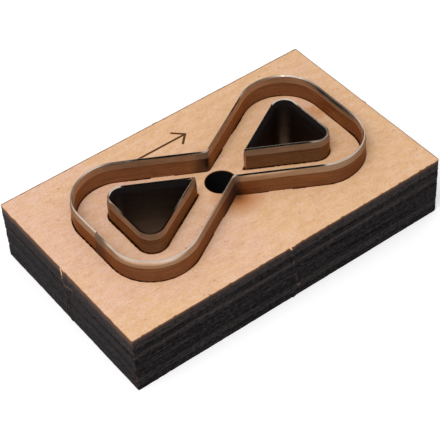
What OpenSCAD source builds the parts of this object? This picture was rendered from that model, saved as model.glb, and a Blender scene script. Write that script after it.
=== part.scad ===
// Steel rule die: a laser-cut plywood board that holds a bow-tie cutting rule
// and two triangular window rules.
// Millimetres. The origin is the centre of the board's underside, +X along its length, +Z up.

/* [Die board] */
// Length of the board
board_l = 91.5; // [86:0.5:120]
// Width of the board
board_w = 55.5; // [50:0.5:80]
// Thickness of the plywood
board_t = 17.4; // [14:0.1:18.5]
// Number of veneers in the plywood
ply_count = 9; // [5:2:13]
// Depth by which the laser burned back the veneers that show end grain
ply_recess = 0.12; // [0.05:0.01:0.4]
// Diameter of the push-out hole in the middle
hole_d = 7.9; // [4:0.1:9]

/* [Break-off tabs] */
// Width of the tab that held each side of the board to its sheet
tab_w = 1; // [0.6:0.1:3]
// Height by which the broken tab stands off the side
tab_proud = 0.3; // [0.1:0.05:1]

/* [Cutting outline] */
// Length of the bow tie, between the cutting edges
bow_l = 71.7; // [60:0.1:76]
// Gap between the cutting edges at the waist
waist_w = 10.9; // [10:0.1:12.5]
// Angle of the slanted walls to the length of the bow tie
wall_angle = 30; // [24:0.5:34]
// Radius of the bow tie's corners
corner_r = 11.1; // [10.5:0.1:13]
// Width of the band between the slanted walls of the bow tie and of each window
band_w = 8.55; // [8.2:0.05:9.6]
// Width of the band between the end walls of the bow tie and of each window
end_band_w = 8.2; // [7.5:0.05:9.6]
// Radius of the windows' round corners
window_r = 3.3; // [2:0.05:5]

/* [Cutting rule] */
// Height of the rule, from its foot to its cutting edge
rule_h = 23.8; // [22:0.1:26]
// Thickness of the rule
rule_t = 1.05; // [0.7:0.01:1.2]
// Height of the ground bevel below the honed edge
bevel_h = 1.65; // [0.6:0.05:2]
// Thickness at the top of the bevel, where the honed edge starts
bevel_top_t = 0.54; // [0.3:0.01:0.6]
// Height of the honed edge
hone_h = 0.38; // [0.2:0.02:0.6]
// Thickness of the cutting edge itself
edge_t = 0.04; // [0.02:0.01:0.08]
// Swelling of the rule where it is bent, on each of its faces
bend_swell = 0.002; // [0.002:0.001:0.008]
// Gap where the two ends of a rule meet
end_gap = 0.08; // [0.03:0.01:0.3]
// Distance of the bow tie's joint from the middle of its end wall
joint_y = -0.2; // [-4:0.1:4]
// Width of the flat that is ground on the sharp corner of a window rule
tip_flat = 0.9; // [0.4:0.05:1.1]

/* [Fit of the rule in the board] */
// Play between the rule and each side of its kerf
kerf_play = 0.03; // [0.01:0.01:0.1]
// Width of the bridges of uncut board under the bow-tie rule
bridge_w = 6; // [3:0.5:8]
// Play of the rule's notch around a bridge
notch_play = 0.2; // [0.1:0.05:0.5]
// Length by which the laser ran past the sharp corner of a window
overrun_l = 0.6; // [0.2:0.1:1.5]
// Width of the laser's own cut
laser_w = 0.3; // [0.15:0.05:0.4]

/* [Hidden] */
$fn = 96;

ply_t = board_t / ply_count;
bow_half = bow_l / 2;
kerf_half = rule_t / 2 + kerf_play;
// Length by which each cut runs past the face that it opens
past = 1;
// Length by which a straight run reaches into a bend
bend_lap = 0.05;

// Centre of the rounding at the upper corner of the bow tie's right lobe
bow_corner_x = bow_half - corner_r;
bow_corner_y = waist_w / 2 + bow_corner_x * tan(wall_angle) - corner_r / cos(wall_angle);
bow_corner = [bow_corner_x, bow_corner_y];

// Sharp corner of the right window, where its two slanted walls meet, and the centre of its upper rounding
tip_x = (band_w / cos(wall_angle) - waist_w / 2) / tan(wall_angle);
window_corner_x = bow_half - end_band_w - window_r;
window_corner_y = (window_corner_x - tip_x) * tan(wall_angle) - window_r / cos(wall_angle);
window_corner = [window_corner_x, window_corner_y];

// Lengths of the slanted walls, from the bow tie's waist or the window's sharp corner to the bend
bow_wall_l = bow_corner.x / cos(wall_angle) - corner_r * tan(wall_angle);
window_wall_l = (window_corner.x - tip_x) / cos(wall_angle) - window_r * tan(wall_angle);

// Middle of a slanted wall of the bow tie, where its bridge stands
bridge_x = bow_wall_l / 2 * cos(wall_angle);
bridge_y = waist_w / 2 + bridge_x * tan(wall_angle);

// Copies a quarter of the outline to all four quarters
module in_four_quarters() {
    for (side = [0, 1], end = [0, 1])
        mirror([0, side, 0]) mirror([end, 0, 0]) children();
}

// Section of the rule, foot on Y = 0 and cutting edge up, with each face moved out by swell
module rule_section(swell) {
    side = rule_t / 2 + swell;
    shoulder = bevel_top_t / 2 + swell;
    edge = edge_t / 2 + swell;
    polygon([
        [-side, 0],
        [side, 0],
        [side, rule_h - hone_h - bevel_h],
        [shoulder, rule_h - hone_h],
        [edge, rule_h],
        [-edge, rule_h],
        [-shoulder, rule_h - hone_h],
        [-side, rule_h - hone_h - bevel_h]
    ]);
}

// Straight run of rule along +Y, from y = 0
module straight_rule(length) {
    rotate([90, 0, 180]) linear_extrude(length) rule_section(0);
}

// Bend round a corner, and half of the end wall, in the quarter with x and y above 0
module bend_and_end_wall(corner, radius) {
    translate([corner.x, corner.y, 0])
        rotate_extrude(angle = 90 + wall_angle) translate([radius, 0]) rule_section(bend_swell);
    translate([corner.x + radius, 0, 0]) straight_rule(corner.y + bend_lap);
}

// Slanted wall that runs back from a bend and is cut off at a mitre.
// The mitre is the plane of symmetry that lies at the angle mitre to the Y axis.
module slanted_rule(length, corner, radius, mitre) {
    run_up = 2 * rule_t;
    intersection() {
        translate([corner.x, corner.y, 0]) rotate(90 + wall_angle) translate([radius, -bend_lap, 0])
            straight_rule(length + bend_lap + run_up);
        rotate(mitre) translate([0, -board_l, -past])
            cube([2 * board_l, 2 * board_l, rule_h + 2 * past]);
    }
}

// Notch in the rule's foot that clears one bridge
module bridge_notch() {
    width = bridge_w + 2 * notch_play;
    translate([bridge_x, bridge_y, 0]) rotate(wall_angle)
        translate([-width / 2, -rule_t, -past])
            cube([width, 2 * rule_t, board_t + notch_play + past]);
}

// Area between two slanted walls, from the points at its narrow end to its rounded wide end
module outline_area(narrow_end, corner, radius) {
    wall = [corner.x - radius * sin(wall_angle), corner.y + radius * cos(wall_angle)];
    end_x = corner.x + radius;
    polygon(concat(
        narrow_end,
        [wall, [end_x, corner.y], [end_x, -corner.y], [wall.x, -wall.y]]
    ));
    for (side = [-1, 1])
        translate([corner.x, side * corner.y]) circle(radius + bend_swell);
}

// Area of one lobe of the bow tie, grown by grow past the middle of its rule
module lobe_area(grow) {
    waist_y = waist_w / 2 + grow / cos(wall_angle);
    outline_area([[0, -waist_y], [0, waist_y]], bow_corner, corner_r + grow);
}

// Area of the right-hand window, grown by grow past the middle of its rule
module window_area(grow) {
    outline_area([[tip_x - grow / sin(wall_angle), 0]], window_corner, window_r + grow);
}

// Kerf of the bow tie, cut through the board except at its bridges
module bow_kerf() {
    difference() {
        translate([0, 0, -past]) linear_extrude(board_t + 2 * past)
            difference() {
                for (end = [0, 1])
                    mirror([end, 0]) lobe_area(kerf_half);
                for (end = [0, 1])
                    mirror([end, 0]) lobe_area(-kerf_half);
            }
        in_four_quarters()
            translate([bridge_x, bridge_y, 0]) rotate(wall_angle)
                translate([-bridge_w / 2, -rule_t, -2 * past])
                    cube([bridge_w, 2 * rule_t, board_t + 4 * past]);
    }
}

// Opening of one window through the board, with the laser's overrun at its sharp corner
module window_opening() {
    depth = board_t + 2 * past;
    overrun_x = tip_x - kerf_half / sin(wall_angle) - overrun_l;
    translate([0, 0, -past]) linear_extrude(depth) window_area(kerf_half);
    translate([overrun_x, -laser_w / 2, -past]) cube([tip_x - overrun_x, laser_w, depth]);
}

// Plywood with every second veneer turned, so that end grain alternates between the sides.
// The outer veneers show their end grain on the short sides.
module plywood() {
    difference() {
        translate([-board_l / 2, -board_w / 2, 0]) cube([board_l, board_w, board_t]);
        for (i = [0 : ply_count - 1]) {
            low = i == 0 ? -past : i * ply_t;
            high = i == ply_count - 1 ? board_t + past : (i + 1) * ply_t;
            turned = i % 2 == 1;
            span = turned ? board_l : board_w;
            side = (turned ? board_w : board_l) / 2 - ply_recess;
            for (end = [0, 180])
                rotate(end + (turned ? 90 : 0))
                    translate([side, -span / 2 - past, low])
                        cube([ply_recess + past, span + 2 * past, high - low]);
        }
    }
}

// Broken tabs in the middle of the four sides
module break_off_tabs() {
    reach_x = board_l + 2 * tab_proud;
    reach_y = board_w + 2 * tab_proud;
    translate([-reach_x / 2, -tab_w / 2, 0]) cube([reach_x, tab_w, board_t]);
    translate([-tab_w / 2, -reach_y / 2, 0]) cube([tab_w, reach_y, board_t]);
}

module die_board() {
    color("burlywood") difference() {
        union() {
            plywood();
            break_off_tabs();
        }
        bow_kerf();
        for (end = [0, 1])
            mirror([end, 0, 0]) window_opening();
        translate([0, 0, -past]) cylinder(d = hole_d, h = board_t + 2 * past);
    }
}

module bow_rule() {
    color("dimgray") difference() {
        in_four_quarters() {
            slanted_rule(bow_wall_l, bow_corner, corner_r, 0);
            bend_and_end_wall(bow_corner, corner_r);
        }
        in_four_quarters() bridge_notch();
        translate([-bow_half - rule_t, joint_y - end_gap / 2, -past])
            cube([2 * rule_t, end_gap, rule_h + 2 * past]);
    }
}

// Right-hand window rule, whose ends meet at its sharp corner
module window_rule() {
    flat_x = tip_x - rule_t / 2 / sin(wall_angle) + tip_flat / 2 / tan(wall_angle);
    difference() {
        for (side = [0, 1])
            mirror([0, side, 0]) {
                slanted_rule(window_wall_l, window_corner, window_r, 90);
                bend_and_end_wall(window_corner, window_r);
            }
        translate([tip_x - 2 * rule_t, -end_gap / 2, -past])
            cube([4 * rule_t, end_gap, rule_h + 2 * past]);
        translate([flat_x - 2 * rule_t, -rule_t, -past])
            cube([2 * rule_t, 2 * rule_t, rule_h + 2 * past]);
    }
}

module window_rule_left() {
    color("gray") mirror([1, 0, 0]) window_rule();
}

module window_rule_right() {
    color("gray") window_rule();
}

die_board();
bow_rule();
window_rule_left();
window_rule_right();
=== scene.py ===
# Looks of a steel rule die: a laser-cut plywood board with bevelled cutting rules pressed into its kerfs.
# Metres, in the frame of the solids: the origin is under the middle of the board, +X along it, +Z up.
import math
from collections import namedtuple

import bmesh
import bpy
from mathutils import Matrix, Vector, geometry, noise


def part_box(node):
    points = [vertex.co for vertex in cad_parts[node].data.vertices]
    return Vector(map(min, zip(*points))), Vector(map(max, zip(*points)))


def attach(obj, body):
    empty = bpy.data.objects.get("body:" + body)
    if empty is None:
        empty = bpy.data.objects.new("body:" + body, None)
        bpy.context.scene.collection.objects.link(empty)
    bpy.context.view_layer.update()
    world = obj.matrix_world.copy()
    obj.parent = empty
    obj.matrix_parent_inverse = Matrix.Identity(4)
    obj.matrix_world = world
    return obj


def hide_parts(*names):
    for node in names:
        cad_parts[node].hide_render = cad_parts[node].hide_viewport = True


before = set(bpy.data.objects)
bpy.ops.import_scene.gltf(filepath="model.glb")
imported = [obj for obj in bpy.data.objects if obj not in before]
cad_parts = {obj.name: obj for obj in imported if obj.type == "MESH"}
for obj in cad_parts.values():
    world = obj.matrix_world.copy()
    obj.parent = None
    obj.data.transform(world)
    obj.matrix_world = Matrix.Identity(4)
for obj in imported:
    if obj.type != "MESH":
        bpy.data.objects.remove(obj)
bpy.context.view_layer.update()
mm = 0.001

# Plywood board
# A block of nine birch veneers. A laser cut it out of its sheet and burned the kerfs, the windows and
# the push-out hole through it, so every cut wall is charred. Four tabs, one a side, were broken by hand.
tab_proud = 0.3 * mm
tab_half = 0.5 * mm
board_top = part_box("die_board")[1].z
half_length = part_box("die_board")[1].x - tab_proud
half_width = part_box("die_board")[1].y - tab_proud
veneer_count = 9
veneer = board_top / veneer_count
arris_radius = 0.45 * mm

right_angle = math.radians(90)
wall_angle = math.radians(30)
corner_turn = right_angle + wall_angle
bow_half = 35.85 * mm
waist_half = 5.45 * mm
waist_bend = 0.95 * mm
corner_bend = 11.1 * mm
band = 8.55 * mm
end_band = 8.2 * mm
window_bend = 3.3 * mm
joint_y = -0.2 * mm
bridge_width = 6 * mm
rule_half = 0.525 * mm
kerf_half = rule_half + 0.03 * mm
laser_half = 0.15 * mm
hole_radius = 3.95 * mm

corner_x = bow_half - corner_bend
corner_y = waist_half + corner_x * math.tan(wall_angle) - corner_bend / math.cos(wall_angle)
bow_wall = corner_x / math.cos(wall_angle) - corner_bend * math.tan(wall_angle)
tip_x = (band / math.cos(wall_angle) - waist_half) / math.tan(wall_angle)
window_x = bow_half - end_band - window_bend
window_y = (window_x - tip_x) * math.tan(wall_angle) - window_bend / math.cos(wall_angle)
window_wall = (window_x - tip_x) / math.cos(wall_angle) - window_bend * math.tan(wall_angle)

# One place along a cut, with the direction to the cut's outer side and the distance from the cut's start
Station = namedtuple("Station", "place outward distance bent over_bridge")


def run(length, step=0.3 * mm, over_bridge=False):
    """A straight stretch of a cut."""
    return length, 0.0, max(1, math.ceil(length / step)), over_bridge


def bend(radius, turn, step=math.radians(2.5)):
    """A round stretch of a cut. A turn above 0 is to the left."""
    return radius * abs(turn), turn, math.ceil(abs(turn) / step), False


def trace(place, heading, moves):
    """Stations along a cut, followed with its outer side to the right."""
    stations = []
    place = Vector(place)
    distance = 0.0
    for length, turn, steps, over_bridge in moves:
        for _ in range(steps):
            outward = Vector((math.sin(heading), -math.cos(heading)))
            stations.append(Station(place.copy(), outward, distance, turn != 0, over_bridge))
            half_turn = turn / steps / 2
            chord = length / steps
            if turn:
                chord *= math.sin(half_turn) / half_turn
            heading += half_turn
            place = place + chord * Vector((math.cos(heading), math.sin(heading)))
            heading += half_turn
            distance += length / steps
    outward = Vector((math.sin(heading), -math.cos(heading)))
    stations.append(Station(place, outward, distance, False, False))
    return stations


def bow_line():
    """The bow-tie cut, from its joint on the left end wall and back to it."""
    bridge = run(bridge_width, over_bridge=True)
    outer_leg = run((bow_wall - bridge_width) / 2)
    inner_leg = run((bow_wall - bridge_width) / 2 - waist_bend * math.tan(wall_angle))
    corner = bend(corner_bend, corner_turn)
    waist = bend(waist_bend, -2 * wall_angle, step=math.radians(6))
    side = [corner, outer_leg, bridge, inner_leg, waist, inner_leg, bridge, outer_leg, corner]
    moves = [run(corner_y + joint_y)] + side + [run(2 * corner_y)] + side + [run(corner_y - joint_y)]
    return trace((-bow_half, joint_y), -right_angle, moves)


def window_line():
    """The cut of the right-hand window, from its sharp corner and back to it."""
    corner = bend(window_bend, corner_turn, step=math.radians(4))
    wall = run(window_wall)
    return trace((tip_x, 0), -wall_angle, [wall, corner, run(2 * window_y), corner, wall])


def kerf_slots(stations):
    """The stretches of a closed cut between its bridges."""
    slots = [[stations[0]]]
    for here, there in zip(stations, stations[1:]):
        if not here.over_bridge:
            slots[-1].append(there)
        elif len(slots[-1]) > 1:
            slots.append([there])
        else:
            slots[-1] = [there]
    first = slots.pop(0)
    slots[-1] += first[1:]
    return slots


def wander(*place):
    """Smooth noise from -1 to 1."""
    return noise.noise(Vector(place))


def torn_edge(station, side, wider=0.0):
    """How far the top veneer is torn away beside a cut, on its outer side, 1, or its inner side, -1."""
    along = station.distance / mm
    usual = 0.03 + wider
    widest = 0.22 + wider
    patches = 0.24 * wander(along / 6, 2.7 * side, 0.4)
    fibres = 0.16 * wander(along * 1.3, 5.1, 1.9 * side)
    return min(widest, max(0.0, usual + patches + fibres)) * mm


def slot_outline(slot, grow=0.0, torn=False):
    """Outline of a kerf, grown on all sides, or with the torn edge of the top veneer."""
    reach = kerf_half + grow
    outer, inner = [], []
    for s in slot:
        outer.append(s.place + s.outward * (reach + (torn_edge(s, 1) if torn else 0.0)))
        inner.append(s.place - s.outward * (reach + (torn_edge(s, -1) if torn else 0.0)))
    for end, sign in ((0, -1), (-1, 1)):
        ahead = Vector((-slot[end].outward.y, slot[end].outward.x)) * sign * grow
        outer[end] += ahead
        inner[end] += ahead
    return outer + inner[::-1]


def window_outline(side, grow=0.0, torn=False):
    """Outline of the right window, 1, or the left one, -1. Its tip is as blunt as the laser's cut is wide,
    and the end wall of the left one is torn more widely."""
    reach = kerf_half + grow
    wider = 0.16 if side < 0 else 0.0
    mitre_x = tip_x - reach / math.sin(wall_angle)
    blunt_x = tip_x - kerf_half / math.sin(wall_angle) + laser_half / math.tan(wall_angle) - grow
    blunt_half = (blunt_x - mitre_x) * math.tan(wall_angle)
    points = [Vector((blunt_x, -blunt_half))]
    for s in window_line()[1:-1]:
        tear = torn_edge(s, side, wider * max(0.0, s.outward.x)) if torn else 0.0
        points.append(s.place + s.outward * (reach + tear))
    points.append(Vector((blunt_x, blunt_half)))
    if side < 0:
        points = [Vector((-p.x, p.y)) for p in reversed(points)]
    return points


def hole_outline(grow, sides=72):
    """Outline of the push-out hole."""
    turns = [2 * math.pi * i / sides for i in range(sides)]
    return [(hole_radius + grow) * Vector((math.cos(t), math.sin(t))) for t in turns]


def board_line():
    """The cut round the board, finer at its tabs and its worn corners."""
    fine_half = 1.5 * mm
    corner = bend(arris_radius, right_angle, step=math.radians(18))
    moves = []
    for half_side in (half_length, half_width, half_length, half_width):
        plain = run(half_side - arris_radius - fine_half, step=0.4 * mm)
        tab = run(2 * fine_half, step=0.12 * mm)
        moves += [plain, tab, plain, corner]
    start = (-half_length + arris_radius, -half_width)
    return trace(start, 0.0, moves)[:-1]


def margin_outline(inset, step=1.0 * mm):
    """A rectangle inside the edge of the board's faces, where the scorch of the edge ends."""
    x = half_length - inset
    y = half_width - inset
    corners = [Vector((-x, -y)), Vector((x, -y)), Vector((x, y)), Vector((-x, y))]
    points = []
    for here, there in zip(corners, corners[1:] + corners[:1]):
        count = round((there - here).length / step)
        points += [here.lerp(there, i / count) for i in range(count)]
    return points


# Splinters torn up with the tabs. Their two ends lie across and up the side, in millimetres
Splinter = namedtuple("Splinter", "start end half_width bareness")
left_splinters = [
    Splinter((1.3, 16.9), (0.5, 14.4), 0.3, 1.0),
    Splinter((0.2, 12.1), (-3.2, 12.9), 0.3, 0.5),
    Splinter((1.5, 13.6), (0.3, 11.9), 0.25, 0.45),
    Splinter((0.7, 10.4), (1.3, 1.4), 0.22, 0.16),
]
front_splinters = [
    Splinter((-0.9, 17.4), (-0.5, 16.5), 0.35, 1.0),
    Splinter((-0.2, 12.6), (-0.1, 11.6), 0.22, 0.5),
    Splinter((1.1, 3.3), (1.8, 3.1), 0.6, 0.35),
    Splinter((0.6, 8.5), (0.9, 4.8), 0.25, 0.16),
]


def splinter_cover(splinter, across, up):
    """How far a splinter covers a place on its side, from 0 to 1."""
    start = Vector(splinter.start)
    end = Vector(splinter.end)
    place = Vector((across, up))
    along = (place - start).dot(end - start) / (end - start).length_squared
    along = min(1.0, max(0.0, along))
    gap = (place - start.lerp(end, along)).length
    end_share = 0.55
    half = splinter.half_width * (end_share + (1.0 - end_share) * math.sin(math.pi * along))
    steepness = 1.8
    return max(0.0, min(1.0, steepness * (1.0 - gap / half)))


def side_wear(station, z):
    """How far the charred side lies behind its cut at a height, and how deep the char is, from 0 to 1.
    Lengths inside are in millimetres."""
    x = station.place.x / mm
    y = station.place.y / mm
    up = z / mm
    below_top = board_top / mm - up
    on_long_side = abs(station.outward.y) > abs(station.outward.x)

    # Every second veneer is burned back, and a groove runs along each line of glue
    layer = min(int(z / veneer), veneer_count - 1)
    shows_end_grain = (layer % 2 == 1) == on_long_side
    burned_back = 0.12
    depth = burned_back if shows_end_grain else 0.0
    glue_line = round(z / veneer)
    if 0 < glue_line < veneer_count:
        to_glue = abs(z / veneer - glue_line) * veneer / mm
        groove_depth, groove_half = 0.08, 0.14
        groove = groove_depth * math.exp(-(to_glue / groove_half) ** 2)
        depth += groove * (0.7 + 0.6 * wander(x / 5, y / 5, layer * 3.7))
    coarse_ripple = 0.05 * wander(x / 9, y / 9, up / 0.42)
    fine_ripple = 0.03 * wander(x / 2.2, y / 2.2, up / 0.3)
    depth += coarse_ripple + fine_ripple

    # The char fades out towards the top, raggedly on the long sides. The darker top edge along the back and
    # right sides is partly scorch and partly painted shade
    fade = 1.1 if on_long_side else 2.9
    at_back_or_right = max(station.outward) > 0.5
    edge_scorch_and_shade = 0.42 if at_back_or_right else 0.14
    edge_scorch_and_shade += 0.1 * wander(x / 2, y / 2, 1)
    if on_long_side:
        edge_scorch_and_shade += 0.35 * max(0.0, wander(x * 0.9, y * 0.9, 4))
    char = min(1.0, edge_scorch_and_shade + below_top / fade)

    # Chips along the upright arrises and the lower edge bare the wood a little
    chip_reach = 0.35
    to_arris = max(half_length - abs(station.place.x), half_width - abs(station.place.y)) / mm
    arris_chip = 0.4 * max(0.0, wander(x * 0.6, y * 0.6, up * 0.75) + 0.05)
    low_chip = 0.0 if on_long_side else 0.13
    low_chip += 0.08 * max(0.0, wander(x * 1.1, y * 1.1, 7.3))
    chip = arris_chip * math.exp(-to_arris / chip_reach) + low_chip * math.exp(-up / chip_reach)
    chip *= min(1.0, 0.15 + below_top)
    depth += chip
    most_bared = 0.35
    char -= min(most_bared, 0.9 * chip)

    # Torn fibres and splinters of the broken tabs
    fibre_half = tab_half / mm + 0.25
    ragged_rim = 0.3
    to_tab = abs(x if on_long_side else y)
    if to_tab < fibre_half:
        torn = 0.5 + 0.5 * wander(x * 1.7, y * 1.7, up * 0.9)
        depth -= torn * tab_proud / mm * min(1.0, (fibre_half - to_tab) / ragged_rim)
    squarely = 0.9
    splinters, across = [], 0.0
    if station.outward.x < -squarely:
        splinters, across = left_splinters, y
    elif station.outward.y < -squarely:
        splinters, across = front_splinters, x
    splinter_proud = 0.2
    for splinter in splinters:
        cover = splinter_cover(splinter, across, up)
        depth -= splinter_proud * cover
        char -= splinter.bareness * cover
    deepest = 0.9 * arris_radius
    return min(depth * mm, deepest), max(0.0, char)


wood = bmesh.new()
burn = wood.verts.layers.float.new("burn")


def add_row(points, z, char):
    """A closed row of corners. The char is one depth for all of them, or one for each."""
    row = []
    for i, point in enumerate(points):
        corner = wood.verts.new((point[0], point[1], z))
        corner[burn] = char if isinstance(char, float) else char[i]
        row.append(corner)
    return row


def join_rows(rows):
    """Walls between rows that lie one above another."""
    for lower, upper in zip(rows, rows[1:]):
        for i in range(len(lower)):
            wood.faces.new((lower[i - 1], lower[i], upper[i], upper[i - 1]))


def fill_face(rim, cuts, seams):
    """A flat face inside its rim and round its cuts. The seams are rows of corners that lie in it."""
    corners = sum([rim] + cuts + seams, [])
    number = {corner: i for i, corner in enumerate(corners)}
    edges = [(number[row[i - 1]], number[row[i]]) for row in seams for i in range(len(row))]
    outlines = [[number[corner] for corner in row] for row in [rim] + cuts]
    points = [corner.co.xy for corner in corners]
    inside_only, tolerance = 1, 1e-9
    filled = geometry.delaunay_2d_cdt(points, edges, outlines, inside_only, tolerance)
    _, _, triangles, sources, _, owners = filled
    for triangle, owner in zip(triangles, owners):
        if owner == [0]:
            wood.faces.new([corners[sources[i][0]] for i in triangle])


# Charred sides, row by row from the underside to the top
side_rows = []
row_step = 0.25 * mm
row_count = math.ceil(board_top / row_step)
line = board_line()
for row_number in range(row_count + 1):
    z = board_top * row_number / row_count
    wear = [side_wear(s, z) for s in line]
    places = [s.place - s.outward * depth for s, (depth, _) in zip(line, wear)]
    side_rows.append(add_row(places, z, [char for _, char in wear]))
join_rows(side_rows)

# Walls of the kerfs, the windows and the hole, with the margin that each burned into the face
scorch_margin = 0.3 * mm
window_margin = 1.5 * scorch_margin
tear_depth = 0.3 * mm
cut_outlines = []
for slot in kerf_slots(bow_line()):
    margin = slot_outline(slot, scorch_margin)
    cut_outlines.append((slot_outline(slot), slot_outline(slot, torn=True), margin))
for side in (1, -1):
    margin = window_outline(side, window_margin)
    cut_outlines.append((window_outline(side), window_outline(side, torn=True), margin))
cut_outlines.append((hole_outline(0.0), hole_outline(0.0), hole_outline(scorch_margin)))
wall_char = 1.4
foot_char = 0.7
lip_char = 0.42
under_margin_char = 0.05
bare = 0.0
top_cuts, top_seams, under_cuts, under_seams = [], [], [], []
for outline, torn_outline, margin in cut_outlines:
    rows = [
        add_row(outline, 0.0, foot_char),
        add_row(outline, tear_depth, wall_char),
        add_row(outline, board_top - tear_depth, wall_char),
        add_row(torn_outline, board_top, lip_char),
    ]
    join_rows(rows)
    under_cuts.append(rows[0])
    top_cuts.append(rows[-1])
    under_seams.append(add_row(margin, 0.0, under_margin_char))
    top_seams.append(add_row(margin, board_top, bare))

# Arrow for the feed of the leather, burned in with a light pass of the laser
mark_depth = 0.15 * mm
mark_char = 0.39
mark_margin = 0.2 * mm
mark_middle = Vector((-5 * mm, 19.5 * mm))
stroke_half = 0.24 * mm
shaft_half = 8.5 * mm
head = 2.6 * mm


def arrow_outline(grow=0.0):
    """Outline of the arrow: a shaft and two strokes that run back from its point."""
    half = stroke_half + grow
    slant = half * math.sqrt(0.5)
    stroke_end = head + grow * math.sqrt(0.5)
    upper = [
        (-shaft_half - grow, half),
        (shaft_half - half - 2 * slant, half),
        (shaft_half - stroke_end - slant, stroke_end - slant),
        (shaft_half - stroke_end + slant, stroke_end + slant),
        (shaft_half + 2 * slant, 0.0),
    ]
    lower = [(x, -y) for x, y in upper]
    return [mark_middle + Vector(p) for p in lower + upper[-2::-1]]


mark_rows = [add_row(arrow_outline(), z, mark_char) for z in (board_top - mark_depth, board_top)]
join_rows(mark_rows)
fill_face(mark_rows[0], [], [])
top_cuts.append(mark_rows[1])
top_seams.append(add_row(arrow_outline(mark_margin), board_top, bare))

# The two faces, inside the margins that the cut round the board burned into them
top_margin = 0.5 * mm
under_margin = 1.0 * mm
under_edge_char = 0.1
top_seams.append(add_row(margin_outline(top_margin), board_top, bare))
under_seams.append(add_row(margin_outline(under_margin), 0.0, under_edge_char))
fill_face(side_rows[-1], top_cuts, top_seams)
fill_face(side_rows[0], under_cuts, under_seams)
bmesh.ops.recalc_face_normals(wood, faces=wood.faces)


def finished_piece(name, mesh_in_progress, sharp_angle=None):
    """Turns a mesh in progress into an object, smooth but for its sharp edges."""
    mesh = bpy.data.meshes.new(name)
    for face in mesh_in_progress.faces:
        face.smooth = True
    mesh_in_progress.to_mesh(mesh)
    mesh_in_progress.free()
    if sharp_angle:
        mesh.set_sharp_from_angle(angle=sharp_angle)
    piece = bpy.data.objects.new(name, mesh)
    bpy.context.scene.collection.objects.link(piece)
    return piece


def make_node(tree, kind, inputs=None, **settings):
    """Adds a shader node. An input takes a plain value, or the output of another node."""
    made = tree.nodes.new("ShaderNode" + kind)
    for name, value in settings.items():
        setattr(made, name, value)
    for name, value in (inputs or {}).items():
        if isinstance(value, bpy.types.NodeSocket):
            tree.links.new(value, made.inputs[name])
        else:
            made.inputs[name].default_value = value
    return made


def mix_colours(tree, share, first, second):
    """The first colour, with a share of the second."""
    factor, a, b, result = 0, 6, 7, 2
    return make_node(tree, "Mix", {factor: share, a: first, b: second}, data_type="RGBA").outputs[result]


def between(tree, value, low, high, to_low=0.0, to_high=1.0):
    """Maps a value from one span to another, held at its ends."""
    spans = {"Value": value, "From Min": low, "From Max": high, "To Min": to_low, "To Max": to_high}
    return make_node(tree, "MapRange", spans).outputs["Result"]


def scaled_sum(tree, value, scale, other):
    """A value times a scale, plus another value."""
    return make_node(tree, "Math", {0: value, 1: scale, 2: other}, operation="MULTIPLY_ADD").outputs["Value"]


def in_millimetres(tree, place):
    """A place in metres, turned to millimetres."""
    scale = {0: place, "Scale": 1 / mm}
    return make_node(tree, "VectorMath", scale, operation="SCALE").outputs["Vector"]


def stretched_noise(tree, place, stretch, detail=3.0, roughness=0.55):
    """Noise over a place in millimetres, with a number of spots a millimetre for each axis."""
    scaled = make_node(tree, "VectorMath", {0: place, 1: stretch}, operation="MULTIPLY").outputs["Vector"]
    settings = {"Vector": scaled, "Scale": 1.0, "Detail": detail, "Roughness": roughness}
    return make_node(tree, "TexNoise", settings).outputs["Fac"]


def colour_bands(tree, value, bands):
    """A colour for each value from 0 to 1, blended between the bands."""
    ramp = make_node(tree, "ValToRGB", {"Fac": value})
    stops = ramp.color_ramp.elements
    for _ in bands[2:]:
        stops.new(0.5)
    for stop, (position, colour) in zip(stops, bands):
        stop.position = position
        stop.color = colour
    return ramp.outputs["Color"]


def tinted(tree, colour, tints):
    """A colour under layers of tint. Each starts to show at one value of its pattern, and reaches its full
    strength at another."""
    for pattern, start, full, strength, tint in tints:
        share = between(tree, pattern, start, full, 0.0, strength)
        colour = mix_colours(tree, share, colour, tint)
    return colour


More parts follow.
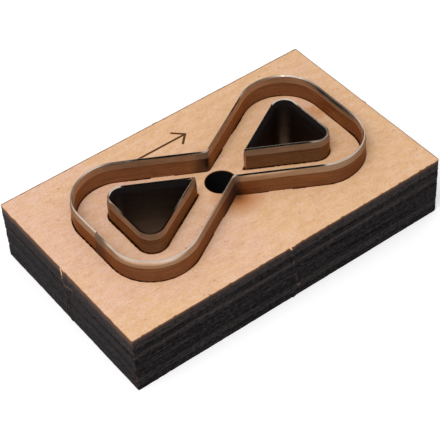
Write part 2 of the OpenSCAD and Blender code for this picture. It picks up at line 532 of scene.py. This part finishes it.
def veneer_look(tree, place, flecks):
    """Colour of the bare veneer: two broad tones, pinker and paler towards the left end as a painted sheen,
    figure, flecks and pores along the grain, resin, a few specks, and where it was smoked inside the right
    end wall. At the near corner of the waist it is scorched, with painted shade and a painted warm
    reflection of the steel walls."""
    pink = (0.785, 0.505, 0.372, 1)
    yellow = (0.775, 0.49, 0.292, 1)
    pale = (0.865, 0.60, 0.43, 1)
    fawn = (0.60, 0.305, 0.13, 1)
    amber = (0.775, 0.47, 0.21, 1)
    bark = (0.3, 0.13, 0.06, 1)
    smoked = (0.56, 0.235, 0.06, 1)
    scorch_and_steel_reflection = (0.52, 0.205, 0.065, 1)
    scorch_and_shade = (0.2, 0.065, 0.02, 1)
    end_wall = (33.4, 5.2, board_top / mm)
    waist_corner = (0.2, -6.6, board_top / mm)

    broad = stretched_noise(tree, place, (0.035, 0.06, 0.05), 2.0)
    figure = stretched_noise(tree, place, (0.25, 0.55, 0.4), 4.0, 0.65)
    pores = stretched_noise(tree, place, (2.2, 4.5, 4.0), 2.0, 0.6)
    specks = stretched_noise(tree, place, (0.9, 1.3, 1.0), 2.0, 0.5)
    resin = stretched_noise(tree, place, (0.5, 0.8, 1.0), 4.0, 0.75)
    along_board = make_node(tree, "SeparateXYZ", {"Vector": place}).outputs["X"]
    # The tone grows pinker and paler towards the left end of the board: a painted sheen on a broad random
    # tone
    tone = scaled_sum(tree, along_board, 0.004, broad)
    to_end_wall = make_node(tree, "VectorMath", {0: place, 1: end_wall}, operation="DISTANCE")
    to_end_wall = scaled_sum(tree, specks, 5.0, to_end_wall.outputs["Value"])
    # Near the waist corner the veneer is scorched, with painted shade and a painted warm reflection of the
    # steel
    to_shaded_waist = make_node(tree, "VectorMath", {0: place, 1: waist_corner}, operation="DISTANCE")
    to_shaded_waist = scaled_sum(tree, flecks, 2.0, to_shaded_waist.outputs["Value"])
    return tinted(tree, pink, [
        (tone, 0.36, 0.56, 1.0, yellow),
        (figure, 0.52, 0.3, 0.5, pale),
        (figure, 0.48, 0.75, 0.45, fawn),
        (flecks, 0.5, 0.72, 0.6, fawn),
        (pores, 0.5, 0.75, 0.4, fawn),
        (pores, 0.5, 0.25, 0.4, pale),
        (resin, 0.52, 0.70, 0.75, amber),
        (specks, 0.7, 0.78, 0.7, bark),
        (to_end_wall, 6.0, 3.0, 0.6, smoked),
        # Scorch with a painted warm reflection of the steel, and nearer the corner scorch with painted shade
        (to_shaded_waist, 8.5, 3.5, 0.9, scorch_and_steel_reflection),
        (to_shaded_waist, 4.0, 1.2, 0.9, scorch_and_shade),
    ])


soot = (0.0095, 0.0085, 0.0090, 1)


def char_look(tree, place):
    """Colour of the charred sides: a tone for each veneer up the side, streaked along it and mottled with
    black and dust. The bands are given by their height, from 0 at the underside to 1 at the top."""
    slate = (0.0185, 0.0165, 0.0172, 1)
    ash = (0.0285, 0.0245, 0.0250, 1)
    rust = (0.0420, 0.0330, 0.0330, 1)
    umber = (0.0850, 0.0380, 0.0230, 1)
    black = (0.002, 0.002, 0.002, 1)
    dust = (0.075, 0.062, 0.062, 1)
    long_bands = [
        (0.0, soot), (0.09, soot),
        (0.13, ash), (0.21, ash),
        (0.25, soot), (0.37, soot),
        (0.40, slate), (0.45, slate),
        (0.48, soot), (0.60, soot),
        (0.63, rust), (0.69, rust),
        (0.72, soot), (0.79, soot),
        (0.83, rust), (0.91, rust),
        (0.98, umber),
    ]
    short_bands = [
        (0.0, slate), (0.15, slate),
        (0.276, ash), (0.414, slate),
        (0.54, ash), (0.632, slate),
        (0.724, rust), (1.0, rust),
    ]

    ripple_height = 0.9
    ripple = stretched_noise(tree, place, (0.12, 0.12, 0.5), 3.0)
    height = make_node(tree, "SeparateXYZ", {"Vector": place}).outputs["Z"]
    height = scaled_sum(tree, ripple, ripple_height, height)
    height = between(tree, height, ripple_height / 2, board_top / mm + ripple_height / 2)
    facing = make_node(tree, "NewGeometry").outputs["Normal"]
    facing = make_node(tree, "VectorMath", {0: facing}, operation="ABSOLUTE").outputs["Vector"]
    facing = make_node(tree, "SeparateXYZ", {"Vector": facing}).outputs["Y"]
    streaks = stretched_noise(tree, place, (0.06, 0.06, 2.4), 4.0, 0.65)
    mottle = stretched_noise(tree, place, (0.9, 0.9, 1.6), 4.0, 0.7)
    return tinted(tree, colour_bands(tree, height, short_bands), [
        (facing, 0.4, 0.6, 1.0, colour_bands(tree, height, long_bands)),
        (streaks, 0.5, 0.3, 0.75, black),
        (streaks, 0.5, 0.7, 0.3, dust),
        (mottle, 0.5, 0.3, 1.0, black),
        (mottle, 0.5, 0.7, 0.4, dust),
    ])


def birch_finish():
    """Bare sanded birch that turns orange, brown and black where the laser burned it."""
    singed = (0.42, 0.17, 0.05, 1)
    brown = (0.085, 0.034, 0.018, 1)
    scorched = (0.12, 0.075, 0.058, 1)
    finish = bpy.data.materials.new("laser_cut_birch")
    finish.use_nodes = True
    tree = finish.node_tree
    shader = tree.nodes["Principled BSDF"]
    place = in_millimetres(tree, make_node(tree, "TexCoord").outputs["Object"])
    burned = make_node(tree, "Attribute", attribute_name="burn").outputs["Fac"]
    flecks = stretched_noise(tree, place, (1.2, 2.4, 2.0), 4.0, 0.7)
    colour = tinted(tree, veneer_look(tree, place, flecks), [
        (burned, 0.1, 0.3, 1.0, singed),
        (burned, 0.25, 0.4, 1.0, brown),
        (burned, 0.35, 0.55, 1.0, scorched),
        (burned, 0.6, 1.0, 1.0, char_look(tree, place)),
        (burned, 1.0, wall_char, 1.0, soot),
    ])
    tree.links.new(colour, shader.inputs["Base Color"])
    sanded_roughness, char_roughness = 0.5, 0.75
    roughness = between(tree, burned, 0.0, 1.0, sanded_roughness, char_roughness)
    tree.links.new(roughness, shader.inputs["Roughness"])
    shader.inputs["Specular IOR Level"].default_value = 0.03
    bump = make_node(tree, "Bump", {"Height": flecks, "Strength": 0.2, "Distance": 0.05 * mm})
    tree.links.new(bump.outputs["Normal"], shader.inputs["Normal"])
    return finish


board = finished_piece("plywood_board", wood, sharp_angle=math.radians(35))
board.data.materials.append(birch_finish())
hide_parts("die_board")
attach(board, "root")

# Bow-tie rule
# One strip of brown tempered steel, rolled, ground to a bevel on both faces, honed to an edge, and bent
# round the bow tie. It is pressed into its kerf, with a notched foot, and its ends butt on the left wall.
rule_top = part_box("bow_rule")[1].z
edge_half = 0.02 * mm
shoulder_half = 0.235 * mm
bend_shoulder_half = 0.27 * mm
hone_height = 0.42 * mm
bend_hone_height = 0.32 * mm
bevel_height = 1.65 * mm
nick_depth = 0.07 * mm
blunt_depth = 0.1 * mm
hone_waver = 0.02 * mm
bevel_waver = 0.06 * mm
notch_top = board_top + 0.03 * mm
# A height between the feet of the bevels and the hone, which tells their faces apart
on_bevel = rule_top - hone_height - 0.1 * mm
# Places of four corners in the section of a strip
outer_foot, outer_notch, bevel_corner, kink_corner = 0, 1, 2, 4
# Places of the finishes among the materials of a strip
body_finish, inner_bevel_finish, hone_finish, outer_bevel_finish = 0, 1, 2, 3

# Wear at one place of a strip: its sideways shift; the stain of its body and bevels, which near the waists
# is painted shade and a painted dark reflection; the bluntness of its edge, whose darkened colour is a
# painted dark reflection; and the painted shading of its upper bevel, a painted shade above 0 and a painted
# highlight below 0
Wear = namedtuple("Wear", "shift stain blunt tarnish")


def rule_section(along, bent, blunt, tip_kink):
    """Corners of the strip's section, across and up, from its outer foot over its edge to its inner foot.
    In a bend its hone is shorter and thicker. Its edge has nicks, and lies lower where it is blunt."""
    nick = nick_depth * max(0.0, wander(along * 1.1, 6.2, 2) - 0.25)
    edge_top = rule_top - nick - blunt_depth * blunt
    shoulder = shoulder_half + (bend_shoulder_half - shoulder_half) * bent
    hone = hone_height + (bend_hone_height - hone_height) * bent
    hone_foot = rule_top - hone + hone_waver * wander(along / 1.7, 3.1, 0)
    bevel_foot = rule_top - hone_height - bevel_height + bevel_waver * wander(along / 9, 8.4, 0)
    outer = [
        (rule_half, 0.0),
        (rule_half, notch_top),
        (rule_half, bevel_foot),
        (shoulder, hone_foot),
        (edge_half, edge_top),
    ]
    section = outer + [(-across, up) for across, up in reversed(outer)]
    if tip_kink:
        on_hone = (tip_kink - edge_half) / (shoulder - edge_half)
        section.insert(kink_corner, (tip_kink, edge_top + (hone_foot - edge_top) * on_hone))
        section.append((tip_kink, 0.0))
    return section


def bent_strip(name, stations, wear_at, inner_shade=0.0, end_cut=None, tip_kink=None):
    """A cutting rule along its stations, with its wear at each distance along it. The inner shade darkens
    its inner face with painted shade, most near the top. The end cut gives how far short of its end station
    each part of the section ends. The tip kink is where, across the section, the end's mitre turns into its
    flat."""
    strip = bmesh.new()
    # Stains of the steel, with painted shade and dark reflections, and painted highlights below 0
    stain_and_painted_light = strip.verts.layers.float.new("stain_and_painted_light")
    # Darkening of the blunt edges: a painted dark reflection
    blunt_and_dark_reflection = strip.verts.layers.float.new("blunt_and_dark_reflection")
    unrolled = strip.loops.layers.uv.new("unrolled")
    foot_stain = 1.7
    blend_reach = 4
    rings = []
    for number, station in enumerate(stations):
        wear = wear_at(station.distance)
        near = stations[max(0, number - blend_reach):number + blend_reach + 1]
        bent = sum(s.bent for s in near) / len(near)
        section = rule_section(station.distance / mm, bent, wear.blunt, tip_kink)
        bevel_foot = section[bevel_corner][1]
        ahead = Vector((-station.outward.y, station.outward.x))
        ring = []
        for offset, z in section:
            place = station.place + station.outward * (offset + wear.shift)
            if end_cut and number == 0:
                place += ahead * end_cut(offset)
            if end_cut and number == len(stations) - 1:
                place -= ahead * end_cut(offset)
            corner = strip.verts.new((place.x, place.y, z))
            # Painted shade inside the hollow window, darkest near the top of the inner face
            inner_painted_shade = inner_shade * (z / rule_top) ** 2 if offset < 0 else 0.0
            # Stain, heavier on the foot, which near the waists is painted shade
            stain = wear.stain * (foot_stain if z <= notch_top else 1.0)
            # Painted shade on the upper bevel above 0, a painted highlight below 0
            tarnish = wear.tarnish if z > bevel_foot else 0.0
            corner[stain_and_painted_light] = max(stain, inner_painted_shade) + tarnish
            # The blunt edge's darker colour is a painted dark reflection
            corner[blunt_and_dark_reflection] = wear.blunt
            ring.append(corner)
        rings.append(ring)

    def add_face(corners, finish):
        face = strip.faces.new(corners)
        face.material_index = finish

    # Faces along the strip, left out below the notches, which get a roof and two sides
    spans = [station.over_bridge for station in stations]
    count = len(rings[0])
    inner_notch = count - (3 if tip_kink else 2)
    for here, there, over_bridge in zip(rings, rings[1:], spans):
        for k in range(count):
            after = (k + 1) % count
            low, high = sorted((here[k].co.z, here[after].co.z))
            if over_bridge and low < notch_top and high <= notch_top:
                continue
            if low > on_bevel:
                finish = hone_finish
            elif high > on_bevel:
                finish = outer_bevel_finish if k < count // 2 else inner_bevel_finish
            else:
                finish = body_finish
            add_face((here[k], there[k], there[after], here[after]), finish)
        if over_bridge:
            roof = (here[outer_notch], here[inner_notch], there[inner_notch], there[outer_notch])
            add_face(roof, body_finish)
    notch_sides = [rings[i] for i in range(1, len(rings) - 1) if spans[i] != spans[i - 1]]
    for ring in notch_sides:
        add_face((ring[outer_foot], ring[outer_notch], ring[inner_notch], ring[-1]), body_finish)

    # Ground ends, each in two faces where the mitre turns into the flat
    ends = [rings[0], rings[-1]]
    for ring in ends:
        if tip_kink:
            add_face(ring[:kink_corner + 1] + ring[-1:], inner_bevel_finish)
            add_face(ring[kink_corner:], inner_bevel_finish)
        else:
            add_face(ring, inner_bevel_finish)

    bmesh.ops.recalc_face_normals(strip, faces=strip.faces)
    distance_of = {corner: s.distance for ring, s in zip(rings, stations) for corner in ring}
    for face in strip.faces:
        for loop in face.loops:
            loop[unrolled].uv = (distance_of[loop.vert], loop.vert.co.z)

    # The ridges along the strip and its cut ends stay sharp, the bends stay smooth
    smooth_lines = {outer_notch, inner_notch}
    for here, there, over_bridge in zip(rings, rings[1:], spans):
        for k in range(count):
            ridge = strip.edges.get((here[k], there[k]))
            if ridge and (over_bridge or k not in smooth_lines):
                ridge.smooth = False
    for ring in ends + notch_sides:
        for k in range(count):
            cut = strip.edges.get((ring[k - 1], ring[k]))
            if cut and (ring in ends or max(v.co.z for v in cut.verts) <= notch_top):
                cut.smooth = False
    return finished_piece(name, strip)


def steel_finish(name, dark, light, roughness, wear_and_shade_colour, wear="stain_and_painted_light"):
    """Steel with streaks along the strip. Its attribute makes it duller and mixes in a darker colour for
    stains, painted shade and painted dark reflections, and gives a painted highlight where it is below 0.
    """
    # Colour of the painted highlights
    painted_highlight = (0.90, 0.81, 0.72, 1)
    streak_roughness, worn_roughness = 0.12, 0.3
    finish = bpy.data.materials.new(name)
    finish.use_nodes = True
    tree = finish.node_tree
    shader = tree.nodes["Principled BSDF"]
    place = in_millimetres(tree, make_node(tree, "UVMap", uv_map="unrolled").outputs["UV"])
    wear_and_shading = make_node(tree, "Attribute", attribute_name=wear).outputs["Fac"]
    streaks = stretched_noise(tree, place, (0.12, 1.6, 1.0), 3.0)
    stains = stretched_noise(tree, place, (0.35, 0.5, 1.0), 3.0)
    colour = tinted(tree, dark, [
        (streaks, 0.25, 0.75, 1.0, light),
        (stains, 0.5, 0.75, 0.5, dark),
        (wear_and_shading, -0.4, -1.0, 1.0, painted_highlight),
    ])
    patches = between(tree, stains, 0.3, 0.55, 0.8, 1.0)
    wear_and_shading = make_node(tree, "Math", {0: wear_and_shading, 1: patches}, operation="MULTIPLY").outputs["Value"]
    colour = mix_colours(tree, wear_and_shading, colour, wear_and_shade_colour)
    tree.links.new(colour, shader.inputs["Base Color"])
    shader.inputs["Metallic"].default_value = 1.0
    shader.inputs["Specular Tint"].default_value = (0.75, 0.55, 0.45, 1)
    rough = between(tree, streaks, 0.3, 0.7, roughness, roughness + streak_roughness)
    rough = scaled_sum(tree, wear_and_shading, worn_roughness, rough)
    tree.links.new(rough, shader.inputs["Roughness"])
    bump = make_node(tree, "Bump", {"Height": streaks, "Strength": 0.1, "Distance": 0.02 * mm})
    tree.links.new(bump.outputs["Normal"], shader.inputs["Normal"])
    return finish


rolled_roughness = 0.2
ground_roughness = 0.42
honed_roughness = 0.08
# Grime on the bevels, also the colour of their painted shade
grime_and_shade = (0.030, 0.024, 0.022, 1)
tempered_rule = steel_finish(
    "tempered_rule", dark=(0.165, 0.091, 0.051, 1), light=(0.275, 0.150, 0.086, 1),
    roughness=rolled_roughness, wear_and_shade_colour=(0.060, 0.040, 0.033, 1),
)
inner_bevel = steel_finish(
    "inner_bevel", dark=(0.44, 0.275, 0.17, 1), light=(0.60, 0.38, 0.24, 1),
    roughness=ground_roughness, wear_and_shade_colour=grime_and_shade,
)
# Near black on blunt edges: a painted dark reflection
honed_edge = steel_finish(
    "honed_edge", dark=(0.48, 0.395, 0.33, 1), light=(0.70, 0.59, 0.50, 1),
    roughness=honed_roughness, wear_and_shade_colour=(0.014, 0.009, 0.007, 1), wear="blunt_and_dark_reflection",
)
# A darker copy of the ground bevel for the bow's outer faces: painted shade
shaded_outer_bevel = steel_finish(
    "shaded_outer_bevel", dark=(0.30, 0.200, 0.126, 1), light=(0.41, 0.275, 0.177, 1),
    roughness=ground_roughness, wear_and_shade_colour=grime_and_shade,
)

# Worn and shaded stretches of the bow tie, by the distance along the strip from its joint. The stain at the
# joint is real; the stain at the near waist is painted shade, the one at the far waist a painted reflection
# of the push-out hole; the blunt edges are lowered, and darkened by a painted dark reflection; painted
# shading above 0 darkens the upper bevel as painted shade, and below 0 is a painted highlight
bow_stations = bow_line()
bow_length = bow_stations[-1].distance
bow_bend = corner_bend * corner_turn
near_waist = corner_y + joint_y + bow_bend + bow_wall
right_end = near_waist + bow_wall + bow_bend + corner_y
far_waist = right_end + corner_y + bow_bend + bow_wall
WornAndShadedStretch = namedtuple("WornAndShadedStretch", "middle reach_back reach_on stain blunt tarnish")
worn_and_shaded_stretches = [
    WornAndShadedStretch(0.0, 0.6 * mm, 4.4 * mm, 0.5, 0.82, 0.0),
    # Painted highlight on the near left bend
    WornAndShadedStretch(near_waist - bow_wall - 0.6 * bow_bend, 9.5 * mm, 11.0 * mm, 0.0, 0.0, -1.0),
    WornAndShadedStretch(near_waist - bow_wall / 2, 9.0 * mm, 9.0 * mm, 0.15, 0.1, 0.0),
    # Painted shade at the near waist corner
    WornAndShadedStretch(near_waist, 8.0 * mm, 1.6 * mm, 0.65, 0.2, 0.0),
    # Painted highlight on the near right wall
    WornAndShadedStretch(near_waist + 0.3 * bow_wall, 6.0 * mm, 10.0 * mm, 0.0, 0.0, -0.75),
    WornAndShadedStretch(near_waist + bow_wall + bow_bend / 2, 10.0 * mm, 10.0 * mm, 0.15, 0.1, 0.0),
    # Painted shade on the upper bevel of the right end wall, with a blunt edge darkened by a painted dark
    # reflection
    WornAndShadedStretch(right_end, 8.0 * mm, 11.0 * mm, 0.0, 0.8, 1.3),
    WornAndShadedStretch(far_waist - bow_wall - bow_bend / 4, 6.0 * mm, 7.0 * mm, 0.0, 0.75, 0.0),
    # Painted reflection of the push-out hole near the far waist
    WornAndShadedStretch(far_waist, 1.0 * mm, 3.0 * mm, 0.45, 0.3, 0.0),
    # Painted shade on the upper bevel where the far left wall meets its bend
    WornAndShadedStretch(far_waist + bow_wall, 4.0 * mm, 3.0 * mm, 0.0, 0.9, 0.7),
    WornAndShadedStretch(far_waist + bow_wall + 0.6 * bow_bend, 5.5 * mm, 5.5 * mm, 0.0, 0.7, 0.0),
]


def bow_wear(distance):
    """Wear of the bow tie. Its two ends stand a little out of line at the joint, and along its stretches it
    has stains, painted shade, blunt edges darkened by a painted dark reflection, and painted highlights."""
    mismatch = 0.1 * mm
    mismatch_reach = 2.5 * mm
    from_start = math.exp(-distance / mismatch_reach)
    from_end = math.exp(-(bow_length - distance) / mismatch_reach)
    stain, blunt, tarnish = 0.0, 0.0, 0.0
    for stretch in worn_and_shaded_stretches:
        ahead = distance - stretch.middle
        reach = stretch.reach_on if ahead > 0 else stretch.reach_back
        share = math.exp(-(ahead / reach) ** 4)
        stain = max(stain, stretch.stain * share)
        blunt = max(blunt, stretch.blunt * share)
        tarnish += stretch.tarnish * share
    return Wear(mismatch * (from_start - from_end), stain, blunt, tarnish)


bow_rule = bent_strip("bow_rule_strip", bow_stations, bow_wear)
for finish in (tempered_rule, inner_bevel, honed_edge, shaded_outer_bevel):
    bow_rule.data.materials.append(finish)
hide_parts("bow_rule")
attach(bow_rule, "root")

# Window rules
# The same strip, bent to a triangle with two round corners. Its mitred ends meet at the sharp corner,
# where a flat is ground. The board's plug inside is gone, so the steel shows down to the underside.
end_gap = 0.08 * mm
tip_flat_half = 0.45 * mm
flat_back = rule_half / math.sin(wall_angle) - tip_flat_half / math.tan(wall_angle)
mitre_to_flat = end_gap / 2 / math.sin(wall_angle) + flat_back / math.cos(wall_angle)
tip_kink = mitre_to_flat * math.sin(2 * wall_angle) / 2
# Painted shade on the inner faces of the window rules
window_inner_shade = 1.3
# A darker copy of the rule's steel for the window rules: painted shade
shaded_window_rule = steel_finish(
    "shaded_window_rule", dark=(0.12, 0.074, 0.044, 1), light=(0.20, 0.122, 0.075, 1),
    roughness=rolled_roughness, wear_and_shade_colour=(0.05, 0.036, 0.033, 1),
)
# A greyer copy of the ground bevel for the outer faces of the window rules
window_outer_bevel = steel_finish(
    "window_outer_bevel", dark=(0.44, 0.312, 0.215, 1), light=(0.60, 0.432, 0.303, 1),
    roughness=ground_roughness, wear_and_shade_colour=grime_and_shade,
)


def mitred_tip(offset):
    """How far along the wall its end lies from the sharp corner, for a part of the section."""
    at_mitre = (end_gap / 2 - offset * math.cos(wall_angle)) / math.sin(wall_angle)
    at_flat = (offset * math.sin(wall_angle) - flat_back) / math.cos(wall_angle)
    return max(at_mitre, at_flat)


def window_wear(blunt, reach):
    """Wear of a window rule, which stands true, with its edge blunt round its near bend, where its darker
    colour is a painted dark reflection.
    """
    near_bend = window_wall + window_bend * corner_turn / 2

    def wear_at(distance):
        at_bend = blunt * max(0.0, 1.0 - ((distance - near_bend) / reach) ** 4)
        return Wear(0.0, 0.0, at_bend, 0.0)

    return wear_at


# Blunt edges round the near bends, darkened by a painted dark reflection
right_wear = window_wear(blunt=0.7, reach=6 * mm)
left_wear = window_wear(blunt=1.3, reach=14 * mm)
for side, node, wear_at in ((1, "window_rule_right", right_wear), (-1, "window_rule_left", left_wear)):
    window_rule = bent_strip(node + "_strip", window_line(), wear_at, window_inner_shade, mitred_tip, tip_kink)
    if side < 0:
        window_rule.data.transform(Matrix.Diagonal((-1, 1, 1, 1)))
        window_rule.data.flip_normals()
    for finish in (shaded_window_rule, inner_bevel, honed_edge, window_outer_bevel):
        window_rule.data.materials.append(finish)
    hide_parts(node)
    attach(window_rule, "root")

# Studio
# A pale floor under soft white light from above and the left, with a dark card low at the front that
# only the steel reflects. The camera stands where the photograph was taken from.
picture_width = 440
focal_pixels = 1578.5
camera_turn = math.radians(-34.472)
camera_rise = math.radians(45.297)
camera_roll = math.radians(-3.692)
camera_distance = 385.05 * mm
camera_target = Vector((-3.052, -2.987, 8.606)) * mm

back = Vector((math.sin(camera_turn) * math.cos(camera_rise),
               -math.cos(camera_turn) * math.cos(camera_rise),
               math.sin(camera_rise)))
level = Vector((0, 0, 1)).cross(back).normalized()
upright = back.cross(level)
right = level * math.cos(camera_roll) + upright * math.sin(camera_roll)
up = upright * math.cos(camera_roll) - level * math.sin(camera_roll)
camera_data = bpy.data.cameras.new("camera")
camera_data.sensor_width = 36.0
camera_data.lens = focal_pixels / picture_width * camera_data.sensor_width
camera_data.clip_start = 10 * mm
camera = bpy.data.objects.new("camera", camera_data)
turned = Matrix((right, up, back)).transposed().to_4x4()
camera.matrix_world = Matrix.Translation(camera_target + back * camera_distance) @ turned
bpy.context.scene.collection.objects.link(camera)
bpy.context.scene.camera = camera


def flat_card(name, middle, width, height, tilt):
    """A flat rectangle on the stage."""
    half = Vector((width / 2, height / 2))
    corners = [(-half.x, -half.y, 0), (half.x, -half.y, 0), (half.x, half.y, 0), (-half.x, half.y, 0)]
    mesh = bpy.data.meshes.new(name)
    mesh.from_pydata(corners, [], [(0, 1, 2, 3)])
    card = bpy.data.objects.new(name, mesh)
    card.location = middle
    card.rotation_euler = tilt
    bpy.context.scene.collection.objects.link(card)
    return card


def seen_as_background(tree):
    """1 for rays that show the background: the camera's, and those by way of metal or glass."""
    light_path = make_node(tree, "LightPath").outputs
    seen = light_path["Is Camera Ray"]
    for other in ("Is Glossy Ray", "Is Transmission Ray"):
        seen = make_node(tree, "Math", {0: seen, 1: light_path[other]}, operation="MAXIMUM").outputs["Value"]
    return seen


floor_size = 1.2
floor_gap = 0.02 * mm
floor_glow = 0.3
floor = flat_card("floor", (0, 0, -floor_gap), floor_size, floor_size, (0, 0, 0))
floor_finish = bpy.data.materials.new("pale_floor")
floor_finish.use_nodes = True
tree = floor_finish.node_tree
paint = tree.nodes["Principled BSDF"]
paint.inputs["Base Color"].default_value = (0.85, 0.85, 0.85, 1)
paint.inputs["Roughness"].default_value = 0.8
paint.inputs["Specular IOR Level"].default_value = 0.1
paint.inputs["Emission Color"].default_value = (1, 1, 1, 1)
glow = between(tree, seen_as_background(tree), 0.0, 1.0, 0.0, floor_glow)
tree.links.new(glow, paint.inputs["Emission Strength"])
floor.data.materials.append(floor_finish)

card_turn = math.radians(-27)
card_distance = 0.5
card_width = 0.45
card_height = 0.21
card_place = (card_distance * math.sin(card_turn), -card_distance * math.cos(card_turn), card_height / 2)
dark_card = flat_card("dark_card", card_place, card_width, card_height, (right_angle, 0, card_turn))
card_finish = bpy.data.materials.new("black_velvet")
card_finish.use_nodes = True
card_paint = card_finish.node_tree.nodes["Principled BSDF"]
card_paint.inputs["Base Color"].default_value = (0.01, 0.01, 0.01, 1)
card_paint.inputs["Specular IOR Level"].default_value = 0.0
dark_card.data.materials.append(card_finish)
dark_card.visible_camera = False
dark_card.visible_diffuse = False
dark_card.visible_shadow = False

world = bpy.data.worlds.new("studio")
world.use_nodes = True
bpy.context.scene.world = world
tree = world.node_tree
sky = tree.nodes["Background"]
sky.inputs["Color"].default_value = (1, 1, 1, 1)
sky_light = 0.55
sky_glow = between(tree, seen_as_background(tree), 0.0, 1.0, sky_light, 1.0)
tree.links.new(sky_glow, sky.inputs["Strength"])

# A soft box that faces the die
lamp_place = Vector((-0.30, -0.15, 0.65))
lamp_data = bpy.data.lights.new("key_light", "AREA")
lamp_data.size = 0.5
lamp_data.energy = 3.2
lamp = bpy.data.objects.new("key_light", lamp_data)
lamp.location = lamp_place
lamp.rotation_euler = (-lamp_place).to_track_quat("-Z", "Y").to_euler()
bpy.context.scene.collection.objects.link(lamp)
bpy.context.scene.view_settings.view_transform = "Standard"
